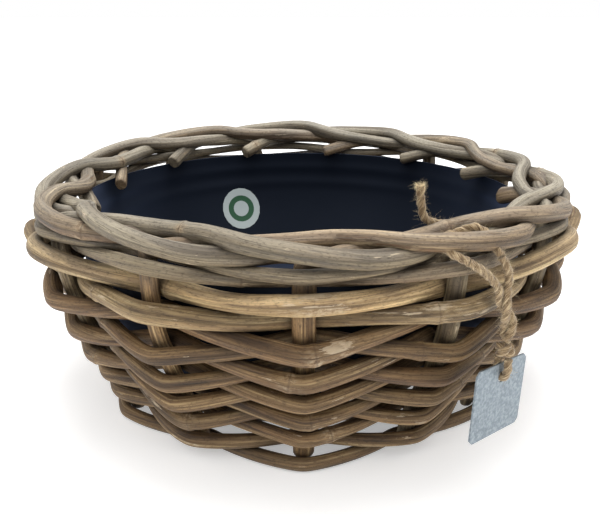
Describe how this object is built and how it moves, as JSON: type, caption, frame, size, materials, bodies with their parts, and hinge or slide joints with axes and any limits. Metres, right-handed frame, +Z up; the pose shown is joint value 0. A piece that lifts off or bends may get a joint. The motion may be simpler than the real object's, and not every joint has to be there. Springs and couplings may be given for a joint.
{
  "type": "rattan_bowl",
  "caption": "Round bowl of thick woven rattan rods with a rolled border, a dark plastic liner inside and a plain metal tag hanging on jute twine.",
  "frame": {"origin": "Middle of the bowl at the height of the surface it stands on.", "axes": "+Z up along the bowl's own axis; the front, as pictured, faces -Y, and +X is to its right."},
  "size_m": [0.3821, 0.3827, 0.1763],
  "materials": {
    "rattan_brown": "dry unvarnished rattan, grey brown with lengthwise grain",
    "rattan_grey": "weathered pale grey rattan",
    "rattan_tan": "smooth warm tan rattan with a faint sheen",
    "liner_plastic": "smooth thin dark plastic",
    "sticker_paper": "pale round paper sticker with a plain green ring",
    "jute": "rough twisted jute twine",
    "zinc_plate": "plain galvanised sheet"
  },
  "bodies": {
    "bowl": {"stake_01": "rattan_brown", "stake_02": "rattan_grey", "stake_03": "rattan_grey", "stake_04": "rattan_brown", "stake_05": "rattan_grey", "stake_06": "rattan_grey", "stake_07": "rattan_brown", "stake_08": "rattan_grey", "stake_09": "rattan_grey", "stake_10": "rattan_brown", "stake_11": "rattan_grey", "stake_12": "rattan_grey", "stake_13": "rattan_brown", "weaver_01": "rattan_brown", "weaver_02": "rattan_brown", "weaver_03": "rattan_brown", "weaver_04": "rattan_brown", "weaver_05": "rattan_brown", "weaver_06": "rattan_brown", "weaver_07": "rattan_brown", "weaver_08": "rattan_brown", "weaver_09": "rattan_tan", "weaver_10": "rattan_tan", "weaver_11": "rattan_grey", "weaver_12": "rattan_grey", "foot_rod_1": "rattan_brown", "foot_rod_2": "rattan_brown", "base_hoop": "rattan_brown", "base_stick_x1": "rattan_brown", "base_stick_x2": "rattan_brown", "base_stick_x3": "rattan_brown", "base_stick_y1": "rattan_brown", "base_stick_y2": "rattan_brown", "base_stick_y3": "rattan_brown", "liner": "liner_plastic", "sticker": "sticker_paper", "twine_loop": "jute", "twine_frayed_end": "jute"},
    "hanging_twine": {"twine_strand_1": "jute", "twine_strand_2": "jute", "twine_twist": "jute", "twine_knot": "jute", "twine_tag_loop": "jute"},
    "tag": {"tag": "zinc_plate"}
  },
  "joints": [
    {"name": "tag_swing", "type": "hinge", "parent": "bowl", "child": "hanging_twine", "pos_m": [0.0937, -0.1696, 0.1439], "axis": [-0.884, -0.4675, 0], "range_deg": [-2, 60]},
    {"name": "tag_rock", "type": "hinge", "parent": "hanging_twine", "child": "tag", "pos_m": [0.1094, -0.1612, 0.073], "axis": [0.6428, -0.766, 0], "range_deg": [-15, 15]}
  ]
}
